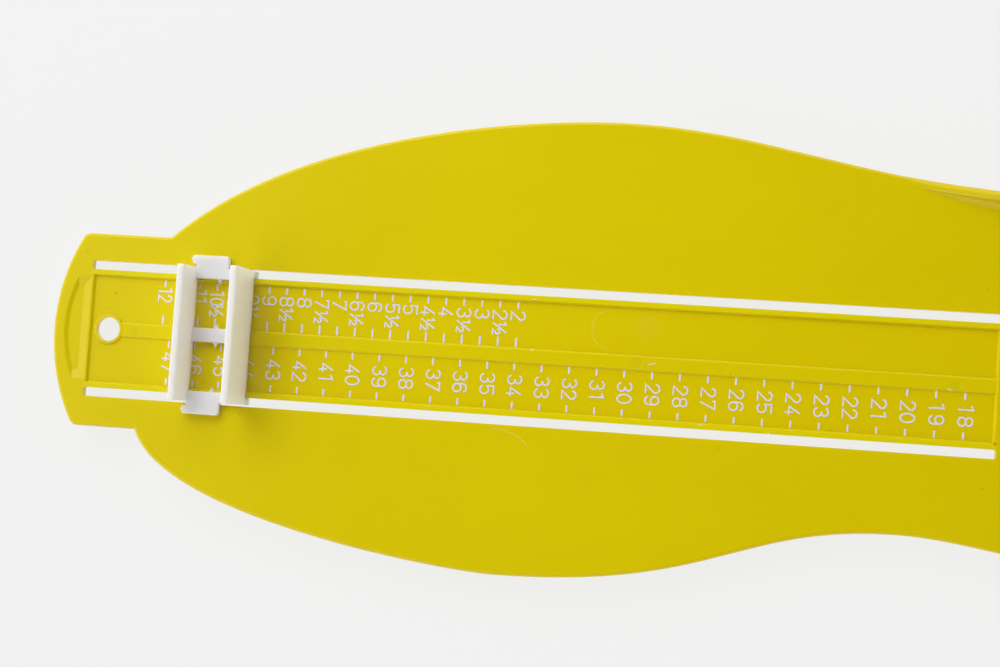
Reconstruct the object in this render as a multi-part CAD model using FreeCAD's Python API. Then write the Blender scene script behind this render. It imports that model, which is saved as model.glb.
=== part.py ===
import FreeCAD, Part

import math
import os

Vec = FreeCAD.Vector

# Foot measuring device: a sole-shaped moulded plate with a heel cup and a numbered strip
# between two long slots, and a moulded slider that clips down through the slots.
#
# All values are in millimetres, in the device's own measuring frame:
#   x runs from the inner face of the heel cup (x = 0) towards the toe end,
#   y runs from the middle line of the strip towards the arch side,
#   z runs up from the surface that the plate stands on.
# finish() moves the pieces so that the origin is at the bottom centre of the whole.

# --- plate -------------------------------------------------------------------------
PLATE_HEIGHT = 8.0         # from the table to the top of the sole
WALL = 2.0                 # thickness of the sole and of the skirt round it
RIM_RADIUS = 0.8           # rounding between the sole and the skirt
TOE_REACH = 343.2          # from the heel's inner face to the tip of the toe tab

# --- toe tab -----------------------------------------------------------------------
TAB_HALF_WIDTH = 24.1
TAB_OFFSET = 0.3           # how far the tab's middle lies from the strip's, arch side
TAB_END_RADIUS = 48.4      # the curved end of the tab
TAB_CORNER_RADIUS = 2.4
NOTCH_RADIUS = 0.6         # inside corners between the tab and the shoulders
TAB_LENGTH_ARCH = 22.8     # from the tip to the shoulder, on the arch side
TAB_LENGTH_LATERAL = 28.5  # the same on the outer side
SHOULDER_ANGLE_ARCH = 69.4       # direction in which each shoulder leaves the tab
SHOULDER_ANGLE_LATERAL = 43.1
SHOULDER_REACH_ARCH = 22.5       # how far each shoulder keeps that direction
SHOULDER_REACH_LATERAL = 42.5

# --- outline: each station's place and half width, and its curve's reach each way --------
BALL_ARCH_X = 229.1
BALL_ARCH_Y = 53.1
BALL_ARCH_REACH_TOE = 12.2
BALL_ARCH_REACH_HEEL = 54.3
WAIST_X = 133.7
WAIST_Y = 36.3
WAIST_REACH_TOE = 37.5
WAIST_REACH_HEEL = 16.1
HEEL_ARCH_X = 78.0
HEEL_ARCH_Y = 41.8
HEEL_ARCH_REACH_TOE = 23.7
HEEL_ARCH_REACH_HEEL = 57.0
BALL_LATERAL_X = 204.9
BALL_LATERAL_Y = 57.9
BALL_LATERAL_REACH_TOE = 20.4
BALL_LATERAL_REACH_HEEL = 42.0
HEEL_LATERAL_X = 63.1
HEEL_LATERAL_Y = 43.0
HEEL_LATERAL_REACH_TOE = 81.7
HEEL_LATERAL_REACH_HEEL = 42.0
HEEL_BACK_REACH = 23.5     # how far the back of the heel runs square to the foot

# --- heel cup ----------------------------------------------------------------------
CUP_HEIGHT = 26.0          # top of the wall above the sole, at the back
CUP_WALL = 2.2
CUP_START_LATERAL = 156.0  # where the wall begins to rise out of the rim
CUP_START_ARCH = 122.0
CUP_SINK = 1.3             # how deep the wall's top lies in the rim where it begins
CUP_ROOT = 0.05            # from the sole's underside up to the wall's root
CUP_HOLLOW = 4.0           # width of the hollow curve between the wall and the sole
CUP_FOOT_DEPTH = 0.1       # how deep the hollow curve's foot lies in the sole
CUP_FOOT_SINK = 1.5        # how much deeper it lies where the wall begins
CUP_FOOT_FADE = 2.0        # how fast that extra depth fades as the wall rises, per mm
CUP_UPRIGHT = 0.75         # how far down the wall's inner side stays nearly upright
CUP_CROWN = 3.2            # depth of the rounding on the wall's outer edge
CUP_SPACING = 18.0         # between the sections that shape the wall, along the outline

# --- number strip --------------------------------------------------------------------
SLOT_CENTRE = 15.86        # from the middle line to the middle of each slot
SLOT_WIDTH = 2.2
SLOT_HEEL_X = 112.5
SLOT_TOE_SETBACK = 9.0     # from the tip of the toe tab to the slots
SLOT_CORNER_RADIUS = 0.4
RAIL_WIDTH = 1.25          # raised edge of the strip along each slot
PANEL_DEPTH = 0.8          # how far the numbers lie below the rails
PANEL_SLOPE = 0.35         # how far the panel's sides lean over that depth
PANEL_END_MARGIN = 0.4     # from the slots' ends in to the ends of the sunk panel
RIDGE_HALF_WIDTH = 1.9     # flat ridge along the middle, at its foot
RIDGE_SLOPE = 0.35
RIDGE_HEIGHT = 0.45
HOLE_RADIUS = 3.0          # hanging hole
HOLE_SETBACK = 5.1         # from the slots' toe ends to the hole's middle
COLLAR_WALL = 0.75
COLLAR_HEIGHT = 0.55
COLLAR_ROUNDING = 0.35

# --- thumb hollow between the panel and the toe rim ---------------------------------
THUMB_HALF_WIDTH = 12.8
THUMB_LENGTH = 6.1         # along its middle
THUMB_BOW = 2.7            # how much shorter it is at its two ends
THUMB_DEPTH = 0.6
THUMB_MARGIN = 0.5         # land left between the hollow and the panel
THUMB_SLOPE = 0.9          # run of the hollow's edge towards the toe
THUMB_END_SLOPE = 2.4      # run of its edges at the two ends
THUMB_RAMP = 2.0           # run of its long slope up to the panel

# --- ribs under the sole -------------------------------------------------------------
RIB_THICKNESS = 1.2
RIB_OFFSET = 4.1           # from the middle of each slot to the rib beside it
RIB_CLEARANCE = 1.0        # from the ribs down to the table
RIB_HEEL_MARGIN = 5.0      # from the slots' heel ends to the cross rib
HOLE_LAND = 2.0            # from the collar to the end of the middle rib

# --- slider --------------------------------------------------------------------------
REST_SETBACK = 33.2        # from the slots' toe ends back to the reading line
STOP_OFFSET = 8.5          # from the reading line to the face that meets the toe
SLIDER_LENGTH = 16.4
SIDE_CLEARANCE = 0.45      # from the slider's sides to the slots' outer edges
SLIDE_GAP = 0.1            # between the slider and the rails under it
STOP_HEIGHT = 16.2         # toe stop, above the slider's underside
STOP_BASE = 2.2
STOP_TOP = 1.75
GRIP_HEIGHT = 11.2         # finger wall at the other end
GRIP_BASE = 2.0
GRIP_TOP = 1.7
EDGE_ROUNDING = 0.4        # on the walls' upper edges and corners
FRAME_THICKNESS = 2.2
WINDOW_MARGIN = 0.85       # from the slots' inner edges in to the reading windows
BRIDGE_HALF_WIDTH = 1.7
BRIDGE_THICKNESS = 1.5
WING_START = 2.3           # heel end of the wings, before the reading line
WING_LENGTH = 9.4
WING_REACH = 3.1           # how far the wings stand out past the walls
WING_NOSE_RADIUS = 1.1
WING_NECK = 1.2            # how far the nose stands past the neck behind it
WING_CORNER = 0.5
POINTER_LENGTH = 1.2       # four small points that mark the reading line
POINTER_HALF_WIDTH = 0.65
POINTER_THICKNESS = 1.0
LEG_CLEARANCE = 0.25       # between each leg and the strip's edge
HOOK_REACH = 1.35          # how far the hooks stand in from the legs
HOOK_THICKNESS = 1.5
HOOK_TIP = 0.6             # thickness left at the hooks' inner edges
HOOK_GAP = 0.3             # between the hooks and the strip's underside

# --- sizes that follow from those above ------------------------------------------------
UNDERSIDE = PLATE_HEIGHT - WALL
PANEL_TOP = PLATE_HEIGHT - PANEL_DEPTH
SLOT_INNER = SLOT_CENTRE - SLOT_WIDTH / 2
SLOT_OUTER = SLOT_CENTRE + SLOT_WIDTH / 2
SLOT_TOE_X = TOE_REACH - SLOT_TOE_SETBACK
PANEL_HALF_WIDTH = SLOT_INNER - RAIL_WIDTH
PANEL_HEEL_X = SLOT_HEEL_X + PANEL_END_MARGIN
PANEL_TOE_X = SLOT_TOE_X - PANEL_END_MARGIN
HOLE_X = SLOT_TOE_X - HOLE_SETBACK
COLLAR_RADIUS = HOLE_RADIUS + COLLAR_WALL
NOTCH_ARCH_X = TOE_REACH - TAB_LENGTH_ARCH
NOTCH_LATERAL_X = TOE_REACH - TAB_LENGTH_LATERAL
TAB_ARCH_Y = TAB_OFFSET + TAB_HALF_WIDTH
TAB_LATERAL_Y = TAB_OFFSET - TAB_HALF_WIDTH
CROSS_RIB_X = SLOT_HEEL_X - RIB_HEEL_MARGIN
SLIDER_BOTTOM = PLATE_HEIGHT + SLIDE_GAP
SLIDER_HALF_WIDTH = SLOT_OUTER - SIDE_CLEARANCE
WINDOW_HALF_WIDTH = SLOT_INNER - WINDOW_MARGIN
REST_READING = SLOT_TOE_X - REST_SETBACK
STOP_FACE_X = REST_READING - STOP_OFFSET
GRIP_FACE_X = STOP_FACE_X + SLIDER_LENGTH
HEEL_BACK = Vec(-CUP_WALL, 0, 0)

UP = Vec(0, 0, 1)
MIDDLE = Vec(0, 0, 0)
ACROSS = Vec(0, 1, 0)
OVERCUT = 1.0              # how far cutting and joining shapes run past their faces
NEAR = 0.01                # places closer than this count as the same
SNAP = 0.001               # faces closer than this are joined as one
WALL_SHARE = 0.9           # the most that a rounding takes of its wall
ROUND = 0.5523             # handle that bends a curve into a quarter circle of radius 1


def along(reach):
    """A step towards the toe."""
    return Vec(reach, 0, 0)


def bezier(start, start_handle, end_handle, end):
    """One smooth edge between two points, pulled by the two handles."""
    curve = Part.BezierCurve()
    curve.setPoles([start, start_handle, end_handle, end])
    return curve.toShape()


def box(x_range, y_range, z_range):
    """A block between two limits on each axis."""
    size = [high - low for low, high in (x_range, y_range, z_range)]
    return Part.makeBox(*size, Vec(x_range[0], y_range[0], z_range[0]))


def prism(points, step):
    """A straight-sided solid: the polygon through the points, carried along a step."""
    loop = Part.makePolygon(points + [points[0]])
    return Part.Face(loop).extrude(step)


def both_sides(solid):
    """A solid and its mirror image across the middle line."""
    return [solid, solid.mirror(MIDDLE, ACROSS)]


def is_straight(edge, direction):
    """True for a straight edge that runs along a direction."""
    if not isinstance(edge.Curve, Part.Line):
        return False
    return abs(edge.Curve.Direction.dot(direction)) > 1 - NEAR


def flat_face(solid, level):
    """The largest level face of a solid at a height."""
    faces = [face for face in solid.Faces
             if isinstance(face.Surface, Part.Plane) and face.BoundBox.ZLength < NEAR
             and abs(face.BoundBox.ZMin - level) < NEAR]
    return max(faces, key=lambda face: face.Area)


# --- plate -------------------------------------------------------------------------

def arch_curves():
    """The outline's arch side, from the toe tab to the back of the heel."""
    notch = Vec(NOTCH_ARCH_X, TAB_ARCH_Y, 0)
    angle = math.radians(SHOULDER_ANGLE_ARCH)
    leaving = Vec(-math.cos(angle), math.sin(angle), 0) * SHOULDER_REACH_ARCH
    ball = Vec(BALL_ARCH_X, BALL_ARCH_Y, 0)
    waist = Vec(WAIST_X, WAIST_Y, 0)
    heel = Vec(HEEL_ARCH_X, HEEL_ARCH_Y, 0)
    back = Vec(0, HEEL_BACK_REACH, 0)
    return [
        bezier(notch, notch + leaving, ball + along(BALL_ARCH_REACH_TOE), ball),
        bezier(ball, ball - along(BALL_ARCH_REACH_HEEL), waist + along(WAIST_REACH_TOE), waist),
        bezier(waist, waist - along(WAIST_REACH_HEEL), heel + along(HEEL_ARCH_REACH_TOE), heel),
        bezier(heel, heel - along(HEEL_ARCH_REACH_HEEL), HEEL_BACK + back, HEEL_BACK),
    ]


def lateral_curves():
    """The outline's outer side, from the back of the heel to the toe tab."""
    notch = Vec(NOTCH_LATERAL_X, TAB_LATERAL_Y, 0)
    angle = math.radians(SHOULDER_ANGLE_LATERAL)
    leaving = Vec(-math.cos(angle), -math.sin(angle), 0) * SHOULDER_REACH_LATERAL
    ball = Vec(BALL_LATERAL_X, -BALL_LATERAL_Y, 0)
    heel = Vec(HEEL_LATERAL_X, -HEEL_LATERAL_Y, 0)
    back = Vec(0, -HEEL_BACK_REACH, 0)
    return [
        bezier(HEEL_BACK, HEEL_BACK + back, heel - along(HEEL_LATERAL_REACH_HEEL), heel),
        bezier(heel, heel + along(HEEL_LATERAL_REACH_TOE),
               ball - along(BALL_LATERAL_REACH_HEEL), ball),
        bezier(ball, ball + along(BALL_LATERAL_REACH_TOE), notch + leaving, notch),
    ]


def tab_curves():
    """The toe tab: its two straight sides and its curved end."""
    corner_x = TOE_REACH - TAB_END_RADIUS + math.sqrt(TAB_END_RADIUS ** 2 - TAB_HALF_WIDTH ** 2)
    outer = Vec(corner_x, TAB_LATERAL_Y, 0)
    inner = Vec(corner_x, TAB_ARCH_Y, 0)
    return [
        Part.makeLine(Vec(NOTCH_LATERAL_X, TAB_LATERAL_Y, 0), outer),
        Part.Arc(outer, Vec(TOE_REACH, TAB_OFFSET, 0), inner).toShape(),
        Part.makeLine(inner, Vec(NOTCH_ARCH_X, TAB_ARCH_Y, 0)),
    ]


def upright_edges(solid, corners):
    """The upright edges of a solid that stand over the given corners."""
    return [edge for edge in solid.Edges if is_straight(edge, UP)
            and any(math.hypot(edge.CenterOfMass.x - corner.x,
                               edge.CenterOfMass.y - corner.y) < NEAR for corner in corners)]


def outline_prism(height):
    """The sole's outline as a solid from the table up to a height, its corners rounded."""
    lateral_side, end, arch_side = tab_curves()
    notches = [lateral_side.Vertexes[0].Point, arch_side.Vertexes[-1].Point]
    corners = [end.Vertexes[0].Point, end.Vertexes[-1].Point]
    loop = Part.Wire([lateral_side, end, arch_side] + arch_curves() + lateral_curves())
    solid = Part.Face(loop).extrude(UP * height)
    solid = solid.makeFillet(TAB_CORNER_RADIUS, upright_edges(solid, corners))
    return solid.makeFillet(NOTCH_RADIUS, upright_edges(solid, notches))


def tray():
    """The sole with its skirt, hollow underneath, and its rim rounded."""
    block = outline_prism(PLATE_HEIGHT)
    shell = block.makeThickness([flat_face(block, 0)], -WALL, SNAP)
    rim = flat_face(shell, PLATE_HEIGHT).OuterWire.Edges
    return shell.makeFillet(min(RIM_RADIUS, WALL_SHARE * WALL), rim)


def smooth_step(share):
    """An S-curve that goes from 0 to 1 as the share does, level at both ends."""
    held = min(max(share, 0.0), 1.0)
    return held * held * (3 - 2 * held)


def cup_height(place):
    """The wall's top above the sole: an S-curve that rises from the rim to the back."""
    side = smooth_step((place.y + HEEL_LATERAL_Y) / (HEEL_ARCH_Y + HEEL_LATERAL_Y))
    start = CUP_START_LATERAL + (CUP_START_ARCH - CUP_START_LATERAL) * side
    climb = smooth_step((start - place.x) / (start + CUP_WALL))
    return (CUP_HEIGHT + CUP_SINK) * climb - CUP_SINK


def cup_section(place, inward, height):
    """One section of the wall, square to the outline: a quarter ellipse up to the crown, a
    rounded inner edge, an upright inner side, and a hollow curve that runs out on the sole.
    Where the wall is still low, the curve's foot lies deeper and the edge is rounded less."""
    def at(across, up):
        return place + inward * across + UP * (PLATE_HEIGHT + up)
    middle = CUP_WALL / 2
    deep = CUP_ROOT - WALL
    foot_across = CUP_WALL + CUP_HOLLOW
    foot_up = -CUP_FOOT_DEPTH - CUP_FOOT_SINK / (1 + CUP_FOOT_FADE * (height + CUP_SINK))
    rise = height - foot_up
    rounding = middle * rise / (rise + middle)
    inner_up = height - rounding
    outer = at(-OVERCUT, height - CUP_CROWN)
    crown = at(middle, height)
    inner = at(CUP_WALL, inner_up)
    foot = at(foot_across, foot_up)
    low = at(-OVERCUT, deep - CUP_CROWN)
    return Part.Wire([
        bezier(outer, outer + UP * (CUP_CROWN * ROUND),
               at(middle - (middle + OVERCUT) * ROUND, height), crown),
        bezier(crown, at(middle * (1 + ROUND), height),
               at(CUP_WALL, inner_up + rounding * ROUND), inner),
        bezier(inner, at(CUP_WALL, inner_up - (inner_up - foot_up) * CUP_UPRIGHT),
               at(foot_across - CUP_HOLLOW * ROUND, foot_up), foot),
        Part.makeLine(foot, at(foot_across, deep)),
        Part.makeLine(at(foot_across, deep), at(middle, deep)),
        Part.makeLine(at(middle, deep), low),
        Part.makeLine(low, outer),
    ])


def cup_stations():
    """Places round the heel from the outer side to the arch side, evenly spaced along each
    curve, each with its direction square to the outline."""
    lateral = lateral_curves()
    arch = arch_curves()
    stations = []
    for curve in (lateral[1], lateral[0], arch[3], arch[2], arch[1]):
        count = max(round(curve.Length / CUP_SPACING), 2)
        first = 1 if stations else 0
        for step in range(first, count + 1):
            spot = curve.getParameterByLength(curve.Length * (1 - step / count))
            tangent = curve.tangentAt(spot)
            stations.append((curve.valueAt(spot), Vec(-tangent.y, tangent.x, 0)))
    return stations


def cup_wall():
    """The heel cup's wall: sections that rise out of the rim, joined and trimmed to the
    outline."""
    stations = [(place, inward, cup_height(place)) for place, inward in cup_stations()]
    risen = [index for index, station in enumerate(stations) if station[2] > NEAR - CUP_SINK]
    used = stations[max(risen[0] - 1, 0):risen[-1] + 2]
    loft = Part.makeLoft([cup_section(*station) for station in used], True, False)
    return loft.common(outline_prism(PLATE_HEIGHT + CUP_HEIGHT + OVERCUT))


def slots():
    """Cutters for the two slots, with their corners rounded."""
    block = box((SLOT_HEEL_X, SLOT_TOE_X), (SLOT_INNER, SLOT_OUTER), (0, PLATE_HEIGHT + OVERCUT))
    uprights = [edge for edge in block.Edges if is_straight(edge, UP)]
    radius = min(SLOT_CORNER_RADIUS, WALL_SHARE * SLOT_WIDTH / 2)
    return both_sides(block.makeFillet(radius, uprights))


def panel():
    """Cutter for the sunk panel that carries the numbers: its four sides lean outwards."""
    def border(spread):
        low_x = PANEL_HEEL_X + PANEL_SLOPE - spread
        high_x = PANEL_TOE_X - PANEL_SLOPE + spread
        half = PANEL_HALF_WIDTH - PANEL_SLOPE + spread
        level = PANEL_TOP + PANEL_DEPTH * spread / PANEL_SLOPE
        corners = [(low_x, -half), (high_x, -half), (high_x, half), (low_x, half), (low_x, -half)]
        return Part.makePolygon([Vec(x, y, level) for x, y in corners])
    return Part.makeLoft([border(0), border(2 * PANEL_SLOPE)], True, True)


def ridge():
    """The flat ridge with sloping sides along the panel's middle, up to the collar."""
    root = UNDERSIDE + (PANEL_TOP - UNDERSIDE) / 2
    top = PANEL_TOP + RIDGE_HEIGHT
    crest = RIDGE_HALF_WIDTH - RIDGE_SLOPE
    profile = [(-RIDGE_HALF_WIDTH, root), (-RIDGE_HALF_WIDTH, PANEL_TOP), (-crest, top),
               (crest, top), (RIDGE_HALF_WIDTH, PANEL_TOP), (RIDGE_HALF_WIDTH, root)]
    points = [Vec(PANEL_HEEL_X, y, z) for y, z in profile]
    return prism(points, along(HOLE_X - PANEL_HEEL_X))


def collar():
    """The low ring round the hanging hole, its outer edge rounded."""
    root = (UNDERSIDE + PANEL_TOP) / 2
    height = PANEL_TOP + COLLAR_HEIGHT - root
    ring = Part.makeCylinder(COLLAR_RADIUS, height, Vec(HOLE_X, 0, root))
    crest = [edge for edge in ring.Edges if edge.BoundBox.ZMin > root + height - NEAR]
    return ring.makeFillet(min(COLLAR_ROUNDING, WALL_SHARE * COLLAR_WALL), crest)


def hanging_hole():
    """Cutter for the hole that the device hangs by."""
    return Part.makeCylinder(HOLE_RADIUS, PLATE_HEIGHT + OVERCUT, Vec(HOLE_X, 0, 0))


def thumb_outline(level, spread):
    """The thumb hollow's outline at a level: straight towards the panel, bowed at the toe.
    It grows on all sides as the spread goes from -1, the hollow's floor, to 0, its edge."""
    heel_x = PANEL_TOE_X + THUMB_MARGIN
    tip_x = heel_x + THUMB_LENGTH + THUMB_SLOPE * spread
    half = THUMB_HALF_WIDTH + THUMB_END_SLOPE * spread
    panel_x = heel_x - THUMB_RAMP * spread
    corner_x = tip_x - THUMB_BOW * (half / THUMB_HALF_WIDTH) ** 2
    ends = [Vec(corner_x, side * half, level) for side in (-1, 1)]
    feet = [Vec(panel_x, side * half, level) for side in (-1, 1)]
    bow = Part.Arc(ends[0], Vec(tip_x, 0, level), ends[1]).toShape()
    rest = Part.makePolygon([ends[1], feet[1], feet[0], ends[0]])
    return Part.Wire([bow] + rest.Edges)


def thumb_hollow():
    """Cutter for the shallow thumb hollow: steep at the toe, a long slope at the panel.
    It reaches as far above the sole as below it, so its edge lies where it is drawn."""
    levels = [PLATE_HEIGHT - THUMB_DEPTH, PLATE_HEIGHT, PLATE_HEIGHT + THUMB_DEPTH]
    wires = [thumb_outline(level, spread) for level, spread in zip(levels, (-1, 0, 1))]
    lower = Part.makeLoft(wires[:2], True, True)
    upper = Part.makeLoft(wires[1:], True, True)
    return lower.fuse(upper)


def ribs():
    """Ribs under the sole: one beside each slot, one along the strip's middle and a cross
    rib at the heel end, trimmed to the outline and clear of the table."""
    levels = (RIB_CLEARANCE, (UNDERSIDE + PANEL_TOP) / 2)
    beside = SLOT_CENTRE + RIB_OFFSET
    half = RIB_THICKNESS / 2
    side = box((CROSS_RIB_X, TOE_REACH), (beside - half, beside + half), levels)
    middle = box((CROSS_RIB_X, HOLE_X - COLLAR_RADIUS - HOLE_LAND), (-half, half), levels)
    cross = box((CROSS_RIB_X - half, CROSS_RIB_X + half), (-beside - half, beside + half), levels)
    together = middle.fuse(both_sides(side) + [cross])
    return together.common(outline_prism(PLATE_HEIGHT))


def base_plate():
    """The moulded plate: sole, skirt, heel cup, number strip, slots, hole and ribs."""
    body = tray().fuse([cup_wall(), ribs()], SNAP)
    body = body.cut([panel(), thumb_hollow()])
    body = body.fuse([ridge(), collar()])
    return body.cut(slots() + [hanging_hole()])


# --- slider --------------------------------------------------------------------------

def upright_wall(face_x, base, top, height):
    """A wall across the slider. Its face at face_x is upright, its other face leans from
    the base thickness to the top thickness, and its upper edges are rounded."""
    profile = [(0, 0), (base, 0), (top, height), (0, height)]
    points = [Vec(face_x + x, -SLIDER_HALF_WIDTH, SLIDER_BOTTOM + z) for x, z in profile]
    wall = prism(points, ACROSS * (2 * SLIDER_HALF_WIDTH))
    crest = [edge for edge in wall.Edges
             if abs(edge.CenterOfMass.z - SLIDER_BOTTOM - height) < NEAR]
    return wall.makeFillet(min(EDGE_ROUNDING, WALL_SHARE * abs(top) / 2), crest)


def toe_stop():
    """The tall wall that meets the toes, upright on the heel side."""
    return upright_wall(STOP_FACE_X, STOP_BASE, STOP_TOP, STOP_HEIGHT)


def finger_grip():
    """The lower wall at the other end that the fingers push, upright on the toe side."""
    return upright_wall(GRIP_FACE_X, -GRIP_BASE, -GRIP_TOP, GRIP_HEIGHT)


def side_member():
    """The frame's side bar over one slot."""
    return box((STOP_FACE_X, GRIP_FACE_X), (WINDOW_HALF_WIDTH, SLIDER_HALF_WIDTH),
               (SLIDER_BOTTOM, SLIDER_BOTTOM + FRAME_THICKNESS))


def bridge():
    """The bar along the middle between the two reading windows."""
    return box((STOP_FACE_X, GRIP_FACE_X), (-BRIDGE_HALF_WIDTH, BRIDGE_HALF_WIDTH),
               (SLIDER_BOTTOM, SLIDER_BOTTOM + BRIDGE_THICKNESS))


def wing():
    """A finger wing on one side: square at its heel end, with a round nose at its toe end
    that stands past the neck."""
    heel_x = REST_READING - WING_START
    outer = SLIDER_HALF_WIDTH + WING_REACH
    root = SLIDER_HALF_WIDTH - WING_CORNER
    radius = WING_NOSE_RADIUS
    centre = Vec(heel_x + WING_LENGTH - radius, outer - radius, 0)
    farthest = WALL_SHARE * radius
    neck_reach = min(max(radius - WING_NECK, -farthest), farthest)
    neck = centre + Vec(neck_reach, -math.sqrt(radius ** 2 - neck_reach ** 2), 0)
    corner_start = Vec(heel_x + WING_CORNER, outer, 0)
    corner_end = Vec(heel_x, outer - WING_CORNER, 0)
    outline = [
        Part.Arc(neck, centre + along(radius), centre + ACROSS * radius).toShape(),
        Part.makeLine(centre + ACROSS * radius, corner_start),
        Part.makeLine(corner_start, corner_end),
        Part.makeLine(corner_end, Vec(heel_x, root, 0)),
        Part.makeLine(Vec(heel_x, root, 0), Vec(neck.x, root, 0)),
        Part.makeLine(Vec(neck.x, root, 0), neck),
    ]
    solid = Part.Face(Part.Wire(outline)).extrude(UP * FRAME_THICKNESS)
    solid.translate(UP * SLIDER_BOTTOM)
    return solid


def pointer(base_y, direction):
    """A small point on the reading line, that stands out from base_y one way across."""
    root_y = base_y - direction * NEAR
    points = [Vec(REST_READING - POINTER_HALF_WIDTH, root_y, SLIDER_BOTTOM),
              Vec(REST_READING + POINTER_HALF_WIDTH, root_y, SLIDER_BOTTOM),
              Vec(REST_READING, base_y + direction * POINTER_LENGTH, SLIDER_BOTTOM)]
    return prism(points, UP * POINTER_THICKNESS)


def clip_leg():
    """One leg that drops through a slot, with the hook that passes under the strip."""
    top = SLIDER_BOTTOM + FRAME_THICKNESS / 2
    hook_top = UNDERSIDE - HOOK_GAP
    hook_bottom = hook_top - HOOK_THICKNESS
    inner = SLOT_INNER + LEG_CLEARANCE
    tip = inner - HOOK_REACH
    profile = [(SLIDER_HALF_WIDTH, top), (SLIDER_HALF_WIDTH, hook_bottom), (inner, hook_bottom),
               (tip, hook_top - HOOK_TIP), (tip, hook_top), (inner, hook_top), (inner, top)]
    points = [Vec(STOP_FACE_X, y, z) for y, z in profile]
    return prism(points, along(SLIDER_LENGTH))


def slider():
    """The moulded slider: toe stop, finger wall, windowed frame, wings, pointers, legs."""
    members = [finger_grip(), bridge()]
    members += both_sides(side_member())
    members += both_sides(wing())
    members += both_sides(pointer(WINDOW_HALF_WIDTH, -1))
    members += both_sides(pointer(BRIDGE_HALF_WIDTH, 1))
    members += both_sides(clip_leg())
    return toe_stop().fuse(members).removeSplitter()


def finish(name, solid, origin):
    """Move a piece to the shared origin and write it as a STEP file."""
    moved = solid.copy()
    moved.translate(-origin)
    moved.exportStep(os.path.join("parts", name + ".step"))


def main():
    os.makedirs("parts", exist_ok=True)
    plate = base_plate()
    extent = plate.optimalBoundingBox(False)
    origin = Vec(extent.Center.x, extent.Center.y, extent.ZMin)
    finish("base_plate", plate, origin)
    finish("slider", slider(), origin)


main()
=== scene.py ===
import math

import bmesh
import bpy
import numpy as np
from mathutils import Matrix, Vector


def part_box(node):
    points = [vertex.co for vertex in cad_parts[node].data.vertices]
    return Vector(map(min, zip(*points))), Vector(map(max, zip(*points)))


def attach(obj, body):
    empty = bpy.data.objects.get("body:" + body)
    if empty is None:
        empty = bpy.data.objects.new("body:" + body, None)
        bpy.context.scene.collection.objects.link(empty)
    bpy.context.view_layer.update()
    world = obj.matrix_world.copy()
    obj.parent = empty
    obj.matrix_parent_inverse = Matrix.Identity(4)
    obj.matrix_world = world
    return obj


# Foot measuring device: the finish of the yellow plate and the white slider, and the white
# numerals and ticks that are printed on the plate's sunk strip.
# Lengths are in metres. Places on the device are given in millimetres in its own measuring
# frame: x from the inner face of the heel cup towards the toe end, y from the middle line of
# the strip towards the arch side. on_device() carries them into the shared frame.

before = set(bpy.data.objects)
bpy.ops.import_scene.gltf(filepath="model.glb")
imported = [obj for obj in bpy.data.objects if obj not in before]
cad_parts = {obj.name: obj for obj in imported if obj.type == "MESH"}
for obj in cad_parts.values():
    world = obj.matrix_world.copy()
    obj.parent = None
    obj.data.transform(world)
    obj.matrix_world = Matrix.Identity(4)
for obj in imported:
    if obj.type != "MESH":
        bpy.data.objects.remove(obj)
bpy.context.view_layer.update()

MM = 0.001
PLATE_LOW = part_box("base_plate")[0]

# --- places on the device, in millimetres ----------------------------------------------------
CUP_WALL = 2.2             # from the plate's heel end to the measuring zero
BALL_LATERAL = 57.9        # from the strip's middle line to the outline's outer extreme
PANEL_TOP = 7.2            # the sunk strip's floor, above the table

# --- European scale: one size is two thirds of a centimetre ----------------------------------
EUROPEAN_STEP = 20 / 3
EUROPEAN_SIZES = range(18, 48)
EUROPEAN_INNER_ROW = 2.79  # y of the two rows of ticks
EUROPEAN_OUTER_ROW = 12.11
EUROPEAN_TENS = 5.89       # y of the middle of each digit
EUROPEAN_UNITS = 8.72

# --- English scale: half sizes ---------------------------------------------------------------
ENGLISH_ZERO = 208.93
ENGLISH_STEP = 8.866
ENGLISH_FIRST = 2
ENGLISH_LAST = 12
ENGLISH_INNER_ROW = -3.12
ENGLISH_OUTER_ROW = -12.12
ENGLISH_DIGIT = -9.54      # middle of a single digit
ENGLISH_TENS = -10.27      # middles of two narrow digits
ENGLISH_UNITS = -8.44
ENGLISH_HALF = -6.28       # middle of the half sign
ENGLISH_NARROW = 0.76      # width of the narrow digits, as a share of the full width

# --- print -----------------------------------------------------------------------------------
STROKE = 0.40              # width of the numerals' strokes
TICK_WIDTH = 0.48
TICK_LENGTH = 1.8
TICK_LENGTH_LONG = 2.34    # the inner ticks of the English scale
PRINT_HEIGHT = 0.07        # how far the print stands proud of the strip
PRINT_SINK = 0.05          # how far it reaches into the strip
STROKE_STEP = 0.012        # between the heights of strokes that cross
STROKE_TOP = 0.72          # width of a stroke's flat top, as a share of the stroke's
STROKE_SHOULDER = 0.45     # height at which its sides start to lean, as a share of the print's
ROUND_END = (80.0, 55.0, 28.0)    # degrees round a stroke's end, from its tip
SHARPEST_TURN = 0.55       # cosine that limits how far a corner of a stroke reaches out
EUROPEAN_LIFT = 0.33       # the digits lie this much nearer to the heel than their ticks
ENGLISH_LIFT = 0.13
ARC_STEP = 14.0            # degrees between the points of a curved stroke


def on_device(x, y, z):
    """Device millimetres to the shared frame, for numbers or whole arrays."""
    return (PLATE_LOW.x + (CUP_WALL + x) * MM, PLATE_LOW.y + (BALL_LATERAL + y) * MM,
            PLATE_LOW.z + z * MM)


# --- shader maths ----------------------------------------------------------------------------

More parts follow.
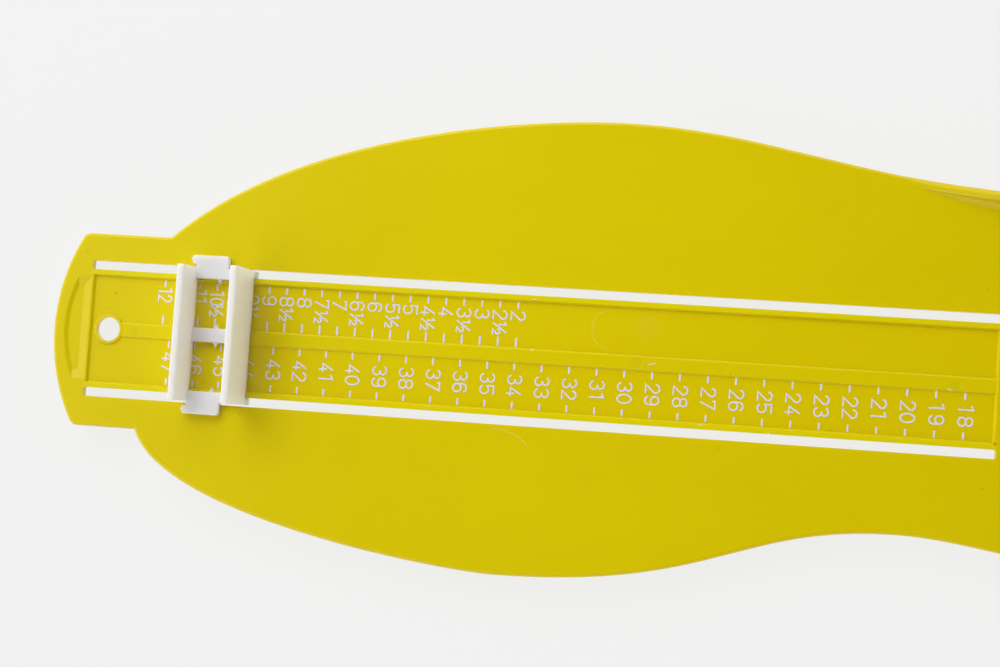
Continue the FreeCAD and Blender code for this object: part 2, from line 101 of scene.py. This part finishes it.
class Amount:
    """A number that a node gives out. Sums on amounts add their Math nodes."""

    def __init__(self, nodes, socket):
        self.nodes = nodes
        self.socket = socket

    def reckon(self, operation, first, second=None):
        """What a Math node makes of one or two values."""
        values = {0: first} if second is None else {0: first, 1: second}
        return self.nodes.amount("ShaderNodeMath", {"operation": operation}, values)

    def __add__(self, other):
        return self.reckon("ADD", self, other)

    def __radd__(self, other):
        return self.reckon("ADD", other, self)

    def __sub__(self, other):
        return self.reckon("SUBTRACT", self, other)

    def __rsub__(self, other):
        return self.reckon("SUBTRACT", other, self)

    def __mul__(self, other):
        return self.reckon("MULTIPLY", self, other)

    def __rmul__(self, other):
        return self.reckon("MULTIPLY", other, self)

    def __abs__(self):
        return self.reckon("ABSOLUTE", self)

    def most(self, other):
        """The larger of the two."""
        return self.reckon("MAXIMUM", self, other)


class Nodes:
    """The nodes of a material or of the world, which start afresh."""

    def __init__(self, owner):
        owner.use_nodes = True
        self.tree = owner.node_tree
        self.tree.nodes.clear()

    def node(self, kind, settings, values):
        """A node of one kind, with its settings, then the values or links of its sockets."""
        made = self.tree.nodes.new(kind)
        for name, setting in settings.items():
            setattr(made, name, setting)
        for name, value in values.items():
            socket = value.socket if isinstance(value, Amount) else value
            if isinstance(socket, bpy.types.NodeSocket):
                self.tree.links.new(socket, made.inputs[name])
            else:
                made.inputs[name].default_value = socket
        return made

    def amount(self, kind, settings, values, output=0):
        """What one output of a new node gives out."""
        return Amount(self, self.node(kind, settings, values).outputs[output])

    def fade(self, value, near, far, inside=1.0, outside=0.0):
        """1 where the value is below near, 0 above far, with a smooth change between."""
        values = {"Value": value, "From Min": near, "From Max": far,
                  "To Min": inside, "To Max": outside}
        return self.amount("ShaderNodeMapRange", {"interpolation_type": "SMOOTHSTEP"}, values)


class Finish(Nodes):
    """One procedural material. It reads Object coordinates, in metres."""

    def __init__(self, name):
        self.material = bpy.data.materials.new(name)
        super().__init__(self.material)
        self.place = self.node("ShaderNodeTexCoord", {}, {}).outputs["Object"]

    def stretched(self, scale):
        """Object coordinates with each axis scaled."""
        mapping = self.node("ShaderNodeMapping", {}, {"Vector": self.place, "Scale": scale})
        return mapping.outputs["Vector"]

    def noise(self, size, detail, place=None):
        """Smooth noise from 0 to 1 whose lumps are about size metres across."""
        values = {"Vector": place or self.place, "Scale": 1 / size, "Detail": detail}
        return self.amount("ShaderNodeTexNoise", {}, values, "Fac")

    def blend(self, share, first, second):
        """A colour that turns from the first to the second as the share goes from 0 to 1."""
        node = self.node("ShaderNodeMix", {"data_type": "RGBA"}, {0: share, 6: first, 7: second})
        return node.outputs[2]

    def along(self, axis):
        """One coordinate, in metres."""
        return self.amount("ShaderNodeSeparateXYZ", {}, {"Vector": self.place}, axis)

    def dash(self, start, end, width):
        """1 on a short straight line between two places on the device, in millimetres, with
        an edge that is soft over a share of its width."""
        x, y = on_device((start[0] + end[0]) / 2, (start[1] + end[1]) / 2, 0.0)[:2]
        length = math.dist(start, end)
        cosine, sine = (end[0] - start[0]) / length, (end[1] - start[1]) / length
        from_x, from_y = self.along("X") - x, self.along("Y") - y
        lengthways = abs(from_x * cosine + from_y * sine)
        sideways = abs(from_y * cosine - from_x * sine)
        soft = width * DASH_SOFTNESS * MM
        return (self.fade(lengthways, length / 2 * MM - soft, length / 2 * MM + soft)
                * self.fade(sideways, width / 2 * MM - soft, width / 2 * MM + soft))

    def distance(self, x, y):
        """Distance from the upright line through a place on the device, in metres."""
        flat = self.stretched((1.0, 1.0, 0.0))
        centre = (*on_device(x, y, 0.0)[:2], 0.0)
        return self.amount("ShaderNodeVectorMath", {"operation": "DISTANCE"},
                           {0: flat, 1: centre}, "Value")

    def disc(self, x, y, radius, soft):
        """1 inside a round spot on the device, with a soft edge, all in millimetres."""
        return self.fade(self.distance(x, y), (radius - soft) * MM, (radius + soft) * MM)

    def ring(self, x, y, radius, width):
        """1 on the line of a circle on the device, 0 at a width from it, in millimetres."""
        off = abs(self.distance(x, y) - radius * MM)
        return self.fade(off, 0.0, width * MM)

    def relief(self, height, rounding=None):
        """A normal for a height in millimetres, over edges rounded by a radius in millimetres."""
        values = {"Strength": 1.0, "Distance": MM, "Height": height}
        if rounding:
            edges = self.node("ShaderNodeBevel", {"samples": 6}, {"Radius": rounding * MM})
            values["Normal"] = edges.outputs["Normal"]
        return self.node("ShaderNodeBump", {}, values).outputs["Normal"]

    def close(self, values):
        """The shader itself, joined to the output."""
        shader = self.node("ShaderNodeBsdfPrincipled", {}, values)
        self.node("ShaderNodeOutputMaterial", {}, {"Surface": shader.outputs["BSDF"]})
        return self.material


# --- finishes --------------------------------------------------------------------------------
# Sizes of noise are in metres. Marks lie on the device, in millimetres: a ring has its x, y,
# radius and the width of its line, and a spot its x, y, radius and the softness of its edge.
# A share says how far a mark's colour covers what is under it. A relief is a height in
# millimetres.

YELLOW_DEEP = (0.745, 0.600, 0.0002, 1.0)
YELLOW_CLEAR = (0.815, 0.692, 0.0003, 1.0)
# The pale yellow is a painted highlight on the strip's raised edges and middle ridge.
YELLOW_PAINTED_HIGHLIGHT = (0.815, 0.750, 0.0008, 1.0)
YELLOW_SCUFF = (0.90, 0.82, 0.25, 1.0)
SCRATCH_PINK = (0.90, 0.72, 0.35, 1.0)
FLECK_WHITE = (0.88, 0.84, 0.70, 1.0)
SPECK_BROWN = (0.16, 0.09, 0.005, 1.0)
WHITE_WARM = (0.86, 0.85, 0.88, 1.0)
WHITE_CLEAR = (0.92, 0.92, 0.94, 1.0)
INK_FULL = (0.84, 0.79, 0.93, 1.0)
INK_THIN = (0.80, 0.74, 0.80, 1.0)

YELLOW_ROUNDING = 0.14     # millimetres by which the finish rounds the edges
WHITE_ROUNDING = 0.25

CLOUD_SIZE = 0.05          # of the faint clouds in the yellow
FLOW_SIZE = 0.012          # of its flow lines, across the device
FLOW_STRETCH = (0.25, 1.0, 1.0)
FLOW_RELIEF = 0.008
GRAIN_SIZE = 0.0005
GRAIN_RELIEF = 0.003
HEEL_SHADE_SPAN = (-0.20, 0.08)    # x, in metres, over which painted shade deepens the yellow towards the heel

SWIRL_SIZE = 0.03          # of the swirls whose middle lines are hair scratches
SPARSE_SIZE = 0.022        # of the patches that have such scratches
SPARSE_EDGE = (0.36, 0.40)     # noise between which a patch ends
HAIR_WIDTH = 0.0016        # of the swirls' noise
HAIR_SHARE = 0.05
HAIR_RELIEF = 0.002

STRIP_MIDDLE = 223.4       # x of the middle of the strip, and how far it reaches from there
STRIP_REACH = 111.5
STRIP_SOFTNESS = 1.0
RAIL_LINE = 14.14          # y of the middles of the strip's raised edges
RAIL_HIGHLIGHT_EDGE = (0.4, 0.8)     # from that line, between which the painted highlight on a raised edge ends
RAIL_HIGHLIGHT_SHARE = 0.6
RIDGE_HIGHLIGHT_EDGE = (1.6, 1.9)    # from the strip's middle line, the same for the painted highlight on the middle ridge
RIDGE_HIGHLIGHT_SHARE = 0.3          # of the raised edges' share of painted highlight
SINK_LINE = 19.96          # y of the faint sink lines that run beside the slots
SINK_WIDTH = 1.1
SINK_RELIEF = 0.012

GATE_RING = (203.4, -7.7, 5.05, 0.30)
GATE_SHOWN = (207.5, -7.7, 5.2, 2.2)    # the spot in which the gate's ring stands out
GATE_SHARE = 0.16
GATE_RELIEF = 0.02
SOLE_RING = (294.5, -27.5, 0.9, 0.22)
SOLE_RING_SHARE = 0.10
SMUDGE = (195.5, -8.8, 2.6, 2.2)
SMUDGE_SHARE = 0.035
SCRATCH_RING = (229.9, 27.8, 9.8, 0.16)     # the ring that a curved scratch follows
SCRATCH_SHOWN = (226.2, 19.4, 4.6, 0.8)     # the spot in which it shows
SCRATCH_SHARE = 0.35

# Marks of the mould's ejector pins: x, y and radius.
PIN_MARKS = ((321.9, 0.2, 1.2), (197.3, -0.1, 1.45), (122.5, 0.4, 1.25))
PIN_SOFTNESS = 0.12
PIN_SHARE = 0.05
PIN_RELIEF = 0.03
PIN_RIM_WIDTH = 0.2
PIN_RIM_SHARE = 0.07

# Dark specks: x, y, radius and share.
DARK_SPECKS = ((328.0, -9.1, 0.40, 0.25), (330.1, -5.3, 0.25, 0.15), (303.8, 11.7, 0.40, 0.12),
               (293.7, 18.8, 0.22, 0.30), (336.0, -19.2, 0.45, 0.12), (112.8, 13.4, 0.32, 0.55),
               (115.0, 24.0, 0.20, 0.30), (116.5, -22.7, 0.20, 0.30), (174.7, 1.3, 0.25, 0.20),
               (176.7, 19.0, 0.25, 0.15), (141.7, 22.8, 0.25, 0.12))
SPECK_SOFTNESS = 0.6       # of the radius

# White flecks: the x and y of both ends, and the width.
WHITE_FLECKS = (((194.5, 0.2), (192.7, -0.3), 0.30), ((124.1, 1.2), (123.2, 1.7), 0.34),
                ((223.0, -1.6), (222.2, -1.5), 0.26), ((223.3, -13.9), (222.2, -13.85), 0.22),
                ((247.3, 13.7), (246.7, 13.6), 0.24), ((165.3, 14.53), (164.9, 14.53), 0.30),
                ((181.8, 13.6), (180.4, 13.65), 0.20))
FLECK_SHARE = 0.6
DASH_SOFTNESS = 0.3        # of the width

MILK_SIZE = 0.006          # of the clouds in the white
MILK_RELIEF = 0.02
MILK_GRAIN_SIZE = 0.0004
COVER_SIZE = 0.0006        # of the unevenness in the ink
COVER_EDGE = (0.25, 0.6)   # noise between which the ink gets thin
COVER_RELIEF = 0.008


def hair_scratches(finish):
    """1 on fine scratches like hairs, the middle lines of a swirling noise, in patches."""
    swirl = finish.noise(SWIRL_SIZE, 4.0)
    patches = finish.fade(finish.noise(SPARSE_SIZE, 1.0), *SPARSE_EDGE)
    return finish.fade(abs(swirl - 0.5), 0.0, HAIR_WIDTH) * patches


def strip_lines(finish):
    """Three amounts that are 1 on the strip's raised edges, on its middle ridge and on the
    sink lines beside the slots, and 0 past the strip's ends."""
    middle_x, middle_y = on_device(STRIP_MIDDLE, 0.0, 0.0)[:2]
    along = abs(finish.along("X") - middle_x)
    across = abs(finish.along("Y") - middle_y)
    strip = finish.fade(along, (STRIP_REACH - STRIP_SOFTNESS) * MM, STRIP_REACH * MM)
    rails = finish.fade(abs(across - RAIL_LINE * MM), *(edge * MM for edge in RAIL_HIGHLIGHT_EDGE))
    ridge = finish.fade(across, *(edge * MM for edge in RIDGE_HIGHLIGHT_EDGE))
    sinks = finish.fade(abs(across - SINK_LINE * MM), 0.0, SINK_WIDTH * MM)
    return rails * strip, ridge * strip, sinks * strip


def scuffed(finish, tone, gate):
    """The tone with the marks that stand alone: the gate's ring, a ring on the sole, a smudge,
    a scratch, specks and flecks."""
    circle = finish.ring(*SOLE_RING) * SOLE_RING_SHARE
    smudge = finish.disc(*SMUDGE) * SMUDGE_SHARE
    tone = finish.blend((gate * GATE_SHARE).most(circle).most(smudge), tone, YELLOW_SCUFF)
    scratch = finish.ring(*SCRATCH_RING) * finish.disc(*SCRATCH_SHOWN)
    tone = finish.blend(scratch * SCRATCH_SHARE, tone, SCRATCH_PINK)
    for x, y, radius, share in DARK_SPECKS:
        speck = finish.disc(x, y, radius, radius * SPECK_SOFTNESS)
        tone = finish.blend(speck * share, tone, SPECK_BROWN)
    for start, end, width in WHITE_FLECKS:
        tone = finish.blend(finish.dash(start, end, width) * FLECK_SHARE, tone, FLECK_WHITE)
    return tone


def pin_marks(finish, tone, height):
    """The tone and the height with the round marks of the mould's ejector pins."""
    for x, y, radius in PIN_MARKS:
        face = finish.disc(x, y, radius, PIN_SOFTNESS)
        rim = finish.ring(x, y, radius, PIN_RIM_WIDTH)
        height = height - face * PIN_RELIEF
        tone = finish.blend(face * PIN_SHARE, tone, SPECK_BROWN)
        tone = finish.blend(rim * PIN_RIM_SHARE, tone, YELLOW_SCUFF)
    return tone, height


def yellow_plastic():
    """Moulded yellow plastic: faint clouds and flow lines in its colour, with painted shade that
    deepens it towards the heel and a painted highlight that makes it paler along the strip's
    raised edges, a fine grain, and the marks of its making and use."""
    finish = Finish("yellow_moulded_plastic")
    cloud = finish.noise(CLOUD_SIZE, 2.0)
    flow = finish.noise(FLOW_SIZE, 3.0, finish.stretched(FLOW_STRETCH))
    grain = finish.noise(GRAIN_SIZE, 2.0)
    hair = hair_scratches(finish)
    rails, ridge, sinks = strip_lines(finish)
    gate = finish.ring(*GATE_RING) * finish.disc(*GATE_SHOWN)
    # Painted shade: away from the toe end the cloudy tone gives way to the deep yellow, which is
    # all there is at the heel.
    clear = finish.fade(finish.along("X"), *HEEL_SHADE_SPAN, inside=0.0, outside=1.0)
    tone = finish.blend((cloud * 0.6 + flow * 0.4) * clear, YELLOW_DEEP, YELLOW_CLEAR)
    # Painted highlight: a paler yellow along the strip's raised edges and, more faintly, its
    # middle ridge.
    tone = finish.blend(rails.most(ridge * RIDGE_HIGHLIGHT_SHARE) * RAIL_HIGHLIGHT_SHARE, tone, YELLOW_PAINTED_HIGHLIGHT)
    tone = finish.blend(hair * HAIR_SHARE, tone, YELLOW_SCUFF)
    tone = scuffed(finish, tone, gate)
    height = grain * GRAIN_RELIEF + flow * FLOW_RELIEF - hair * HAIR_RELIEF + gate * GATE_RELIEF
    tone, height = pin_marks(finish, tone, height)
    return finish.close({
        "Base Color": tone,
        "Roughness": 0.17 + flow * 0.06 + grain * 0.04,
        "Specular IOR Level": 0.5,
        "Subsurface Weight": 0.25,
        "Subsurface Radius": (1.0, 0.8, 0.1),
        "Subsurface Scale": 0.0015,
        "Normal": finish.relief(height - sinks * SINK_RELIEF, YELLOW_ROUNDING),
    })


def white_plastic():
    """Unpigmented white plastic that lets some light through, with a soft gloss."""
    finish = Finish("white_milky_plastic")
    cloud = finish.noise(MILK_SIZE, 2.0)
    grain = finish.noise(MILK_GRAIN_SIZE, 2.0)
    return finish.close({
        "Base Color": finish.blend(cloud, WHITE_WARM, WHITE_CLEAR),
        "Roughness": 0.30 + cloud * 0.12,
        "Specular IOR Level": 0.35,
        "Subsurface Weight": 0.85,
        "Subsurface Radius": (1.0, 0.9, 0.75),
        "Subsurface Scale": 0.004,
        "Normal": finish.relief(grain * GRAIN_RELIEF + cloud * MILK_RELIEF, WHITE_ROUNDING),
    })


def white_ink():
    """White printing ink, a little uneven in its cover."""
    finish = Finish("white_print")
    cover = finish.noise(COVER_SIZE, 3.0)
    return finish.close({
        "Base Color": finish.blend(finish.fade(cover, *COVER_EDGE), INK_FULL, INK_THIN),
        "Roughness": 0.45 + cover * 0.15,
        "Specular IOR Level": 0.3,
        "Normal": finish.relief(cover * COVER_RELIEF),
    })


# --- strokes of the numerals -----------------------------------------------------------------
# Each sign lies in a box round its middle, in millimetres: u runs in the reading direction
# and v towards the sign's top.

CAP = 1.67                 # half the height of a digit, between its strokes' middles
SIDE = 0.97                # half its width


def bow(centre, radii, start, end):
    """Points on an ellipse: centre + radii * (cos, sin) of angles from start to end, degrees."""
    count = max(int(abs(end - start) / ARC_STEP), 2)
    angle = np.radians(np.linspace(start, end, count + 1))
    return np.stack([centre[0] + radii[0] * np.cos(angle),
                     centre[1] + radii[1] * np.sin(angle)], axis=1)


def run(*pieces):
    """One stroke that passes through points and bows in turn."""
    return np.concatenate([np.atleast_2d(np.asarray(piece, float)) for piece in pieces])


def small_two(middle, width, height):
    """A two: a hook that turns into a slanting stroke, and a foot."""
    u, v = middle
    top = v + height * 0.49
    hook = bow((u, top), (width, v + height - top), 176, -40)
    return run(hook, (u - width, v - height), (u + width, v - height))


SIGNS = {
    "0": [bow((0, 0), (1.04, CAP), 90, 450)],
    "1": [run((-0.85, 1.28), (0.06, CAP), (0.06, -CAP))],
    "2": [small_two((-0.03, 0), SIDE, CAP)],
    "3": [bow((-0.06, 0.87), (0.95, CAP - 0.87), 155, -84),
          bow((0.03, -0.76), (1.0, CAP - 0.76), 86, -163)],
    "4": [run((0.62, 1.56), (-0.84, -0.82), (1.03, -0.92)), run((0.52, 0.0), (0.54, -CAP))],
    "5": [run((1.02, CAP), (-0.92, CAP), (-0.92, 0.10), bow((0, -0.60), (1.0, 1.04), 142, -148))],
    "6": [bow((0, -0.66), (SIDE, CAP - 0.66), 180, 540),
          run(bow((0, 0.72), (SIDE, CAP - 0.72), 22, 180), (-SIDE, -0.5))],
    "7": [run((-0.83, 1.24), (-0.83, CAP), (1.04, CAP), (-0.48, -CAP))],
    "8": [bow((0, 0.86), (0.95, CAP - 0.86), 270, -90),
          bow((0.01, -0.78), (1.01, CAP - 0.78), 90, 450)],
    "9": [bow((0, 0.70), (SIDE, CAP - 0.70), 0, 360),
          run((SIDE, 0.5), bow((0, -0.72), (SIDE, CAP - 0.72), 0, -158))],
    "half": [run((-1.45, 1.30), (-0.95, CAP), (-0.93, -0.08)), run((-1.24, -1.5), (0.94, CAP)),
             small_two((0.81, -0.76), 0.56, 0.84)],
}


def ribbon(points, half_width):
    """A raised line along a path in a plane, with round ends.
    A six-cornered section (across, up) is carried along the path: each corner lies at
    path + normal * across * half_width * mitre, and at the ends the width falls off as a
    cosine while the place runs on as a sine. A path that ends where it starts is a loop."""
    closed = np.allclose(points[0], points[-1], atol=1e-6)
    path = points[:-1] if closed else points
    ahead = np.roll(path, -1, axis=0) - path
    ahead /= np.maximum(np.linalg.norm(ahead, axis=1, keepdims=True), 1e-9)
    if not closed:
        ahead[-1] = ahead[-2]
    behind = np.roll(ahead, 1, axis=0)
    if not closed:
        behind[0] = ahead[0]
    along = ahead + behind
    along /= np.maximum(np.linalg.norm(along, axis=1, keepdims=True), 1e-9)
    mitre = 1 / np.clip((along * ahead).sum(axis=1), SHARPEST_TURN, 1.0)
    width = half_width * mitre
    if not closed:
        cap = np.radians(ROUND_END)
        before = path[0] - along[0] * half_width * np.sin(cap)[:, None]
        after = path[-1] + along[-1] * half_width * np.sin(cap[::-1])[:, None]
        path = np.concatenate([before, path, after])
        along = np.concatenate([along[[0] * 3], along, along[[-1] * 3]])
        width = np.concatenate([half_width * np.cos(cap), width, half_width * np.cos(cap[::-1])])
    shoulder = PRINT_HEIGHT * STROKE_SHOULDER
    across = np.array([-1.0, -1.0, -STROKE_TOP, STROKE_TOP, 1.0, 1.0])
    up = np.array([-PRINT_SINK, shoulder, PRINT_HEIGHT, PRINT_HEIGHT, shoulder, -PRINT_SINK])
    normal = np.stack([-along[:, 1], along[:, 0]], axis=1)
    corners = path[:, None, :] + normal[:, None, :] * (across * width[:, None])[:, :, None]
    heights = np.broadcast_to(up, corners.shape[:2])
    vertices = np.concatenate([corners, heights[:, :, None]], axis=2).reshape(-1, 3)
    stations, section = corners.shape[:2]
    steps = np.arange(stations if closed else stations - 1)
    sides = np.arange(section)
    here = steps[:, None] * section
    there = ((steps + 1) % stations)[:, None] * section
    beside = (sides + 1) % section
    quads = np.stack([here + sides, there + sides, there + beside, here + beside], axis=2)
    faces = quads.reshape(-1, 4).tolist()
    if not closed:
        faces.append(sides[::-1].tolist())
        faces.append((sides + (stations - 1) * section).tolist())
    return vertices, faces


def sign_strokes(name, x, y, narrow=1.0):
    """The strokes of one sign whose middle is at a place on the device. Signs are read
    across the strip, with their tops towards the heel."""
    for stroke in SIGNS[name]:
        yield np.stack([x - stroke[:, 1], y + stroke[:, 0] * narrow], axis=1)


def tick_stroke(x, y, length):
    """One tick across the strip."""
    reach = (length - TICK_WIDTH) / 2
    return np.array([[x, y - reach], [x, y + reach]])


def printed(name, strokes, width, ink):
    """One printed piece made of strokes that lie on the sunk strip. Each stroke ends a little
    higher than the one before, in turns of three, so that no two share a face where they cross."""
    vertices, faces, start = [], [], 0
    for number, stroke in enumerate(strokes):
        corners, around = ribbon(stroke, width / 2)
        vertices.append(corners + (0.0, 0.0, number % 3 * STROKE_STEP))
        faces += [[index + start for index in face] for face in around]
        start += len(corners)
    spots = np.concatenate(vertices)
    places = np.stack(on_device(spots[:, 0], spots[:, 1], PANEL_TOP + spots[:, 2]), axis=1)
    mesh = bpy.data.meshes.new(name)
    mesh.from_pydata(places.tolist(), [], faces)
    outward(mesh)
    return piece(name, mesh, ink, "plate", "white_plastic")


def outward(mesh):
    """Turn every face of a closed mesh outwards."""
    shell = bmesh.new()
    shell.from_mesh(mesh)
    bmesh.ops.recalc_face_normals(shell, faces=shell.faces)
    shell.to_mesh(mesh)
    shell.free()


def piece(name, mesh, finish, body, slot):
    """A piece of the object that moves with a body and takes the given finish. The slot is not
    used.
    """
    made = bpy.data.objects.new(name, mesh)
    bpy.context.scene.collection.objects.link(made)
    mesh.materials.append(finish)
    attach(made, body)
    return made


def european_scale(ink):
    """Sizes 18 to 47, each between its two ticks."""
    numbers, ticks = [], []
    for size in EUROPEAN_SIZES:
        x = size * EUROPEAN_STEP
        tens, units = str(size)
        numbers += sign_strokes(tens, x - EUROPEAN_LIFT, EUROPEAN_TENS)
        numbers += sign_strokes(units, x - EUROPEAN_LIFT, EUROPEAN_UNITS)
        ticks.append(tick_stroke(x, EUROPEAN_INNER_ROW, TICK_LENGTH))
        ticks.append(tick_stroke(x, EUROPEAN_OUTER_ROW, TICK_LENGTH))
    printed("european_numbers", numbers, STROKE, ink)
    printed("european_ticks", ticks, TICK_WIDTH, ink)


def english_scale(ink):
    """Sizes 2 to 12 by halves, each between its two ticks."""
    numbers, ticks = [], []
    for halves in range(2 * ENGLISH_FIRST, 2 * ENGLISH_LAST + 1):
        x = ENGLISH_ZERO + halves / 2 * ENGLISH_STEP
        digits = str(halves // 2)
        if len(digits) == 1:
            numbers += sign_strokes(digits, x - ENGLISH_LIFT, ENGLISH_DIGIT)
        else:
            numbers += sign_strokes(digits[0], x - ENGLISH_LIFT, ENGLISH_TENS, ENGLISH_NARROW)
            numbers += sign_strokes(digits[1], x - ENGLISH_LIFT, ENGLISH_UNITS, ENGLISH_NARROW)
        if halves % 2:
            numbers += sign_strokes("half", x - ENGLISH_LIFT, ENGLISH_HALF)
        ticks.append(tick_stroke(x, ENGLISH_INNER_ROW, TICK_LENGTH_LONG))
        ticks.append(tick_stroke(x, ENGLISH_OUTER_ROW, TICK_LENGTH))
    printed("english_numbers", numbers, STROKE, ink)
    printed("english_ticks", ticks, TICK_WIDTH, ink)


# --- stage -----------------------------------------------------------------------------------

# Where the camera stands in the shared frame, and where its right, down and ahead point.
CAMERA_PLACE = (0.005509, 0.017644, 0.427837)
CAMERA_RIGHT = (-0.9896815, -0.0693202, -0.1254000)
CAMERA_DOWN = (-0.0626636, 0.9964469, -0.0562750)
CAMERA_AHEAD = (0.1288554, -0.0478363, -0.9905089)
CAMERA_LENS = 63.0
SENSOR_WIDTH = 36.0

FLOOR_REACH = 6.0
FLOOR_GLOW = 0.80
FLOOR_COLOUR = (0.10, 0.10, 0.10, 1.0)
FLOOR_GAP = 0.02           # millimetres that the floor lies below the plate's rim

CEILING_MIDDLE = (-0.34, 0.10, 1.0)
WALLS_TOP = 0.60           # cosine, from the ceiling's middle, down from which it is bright
CEILING_START = 0.84       # cosine up from which it is dark
WALLS_GLOW = 1.00
CEILING_GLOW = 0.02
WALLS_COLOUR = (1.0, 0.965, 0.93, 1.0)

LAMP_SIZE = 0.5
LAMP_TARGET = (0.03, 0.0, 0.0)
# Each lamp's name, place in metres, power in watts and colour.
LAMPS = (("key_light", (0.34, -0.44, 0.60), 2.6, (0.98, 1.0, 1.0)),
         ("fill_light", (0.42, 0.46, 0.66), 0.65, (1.0, 0.98, 0.95)))


def camera():
    """The camera, looking down on the toe end."""
    data = bpy.data.cameras.new("camera")
    data.lens = CAMERA_LENS
    data.sensor_width = SENSOR_WIDTH
    data.sensor_fit = "HORIZONTAL"
    data.clip_start = 0.01
    data.clip_end = 50.0
    made = bpy.data.objects.new("camera", data)
    bpy.context.scene.collection.objects.link(made)
    turn = Matrix((CAMERA_RIGHT, [-v for v in CAMERA_DOWN], [-v for v in CAMERA_AHEAD]))
    made.matrix_world = Matrix.Translation(CAMERA_PLACE) @ turn.transposed().to_4x4()
    bpy.context.scene.camera = made


def floor():
    """A pale floor that glows softly, as a lit table does."""
    reach = FLOOR_REACH
    mesh = bpy.data.meshes.new("floor")
    mesh.from_pydata([(-reach, -reach, 0), (reach, -reach, 0), (reach, reach, 0),
                      (-reach, reach, 0)], [], [(0, 1, 2, 3)])
    finish = Finish("pale_floor")
    mesh.materials.append(finish.close({
        "Base Color": FLOOR_COLOUR,
        "Roughness": 1.0,
        "Specular IOR Level": 0.0,
        "Emission Color": (1.0, 1.0, 1.0, 1.0),
        "Emission Strength": FLOOR_GLOW,
    }))
    made = bpy.data.objects.new("floor", mesh)
    made.location.z = PLATE_LOW.z - FLOOR_GAP * MM
    bpy.context.scene.collection.objects.link(made)


def lamp(name, place, power, colour):
    """A square soft light that faces the target and isn't mirrored in the glossy faces."""
    data = bpy.data.lights.new(name, "AREA")
    data.shape = "SQUARE"
    data.size = LAMP_SIZE
    data.energy = power
    data.color = colour
    made = bpy.data.objects.new(name, data)
    made.location = place
    aim = Vector(LAMP_TARGET) - Vector(place)
    made.rotation_euler = aim.to_track_quat("-Z", "Y").to_euler()
    made.visible_glossy = False
    bpy.context.scene.collection.objects.link(made)


def surroundings():
    """A studio's pale walls: bright round about and dark overhead. The dark part's middle
    leans towards the heel end."""
    world = bpy.data.worlds.new("studio")
    nodes = Nodes(world)
    view = nodes.node("ShaderNodeTexCoord", {}, {}).outputs["Generated"]
    middle = Vector(CEILING_MIDDLE).normalized()
    height = nodes.amount("ShaderNodeVectorMath", {"operation": "DOT_PRODUCT"},
                          {0: view, 1: middle}, "Value")
    glow = nodes.fade(height, WALLS_TOP, CEILING_START, WALLS_GLOW, CEILING_GLOW)
    back = nodes.node("ShaderNodeBackground", {}, {"Color": WALLS_COLOUR, "Strength": glow})
    nodes.node("ShaderNodeOutputWorld", {}, {"Surface": back.outputs["Background"]})
    bpy.context.scene.world = world


def stage():
    """Camera, floor and plain soft studio light."""
    bpy.context.scene.view_settings.view_transform = "Standard"
    camera()
    floor()
    surroundings()
    for name, place, power, colour in LAMPS:
        lamp(name, place, power, colour)


def dress(node, finish):
    """Give a node of the frame its finish."""
    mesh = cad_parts[node].data
    mesh.materials.clear()
    mesh.materials.append(finish)


def main():
    """The stage, the two dressed mouldings and the two printed scales."""
    stage()
    dress("base_plate", yellow_plastic())
    dress("slider", white_plastic())
    ink = white_ink()
    european_scale(ink)
    english_scale(ink)


main()
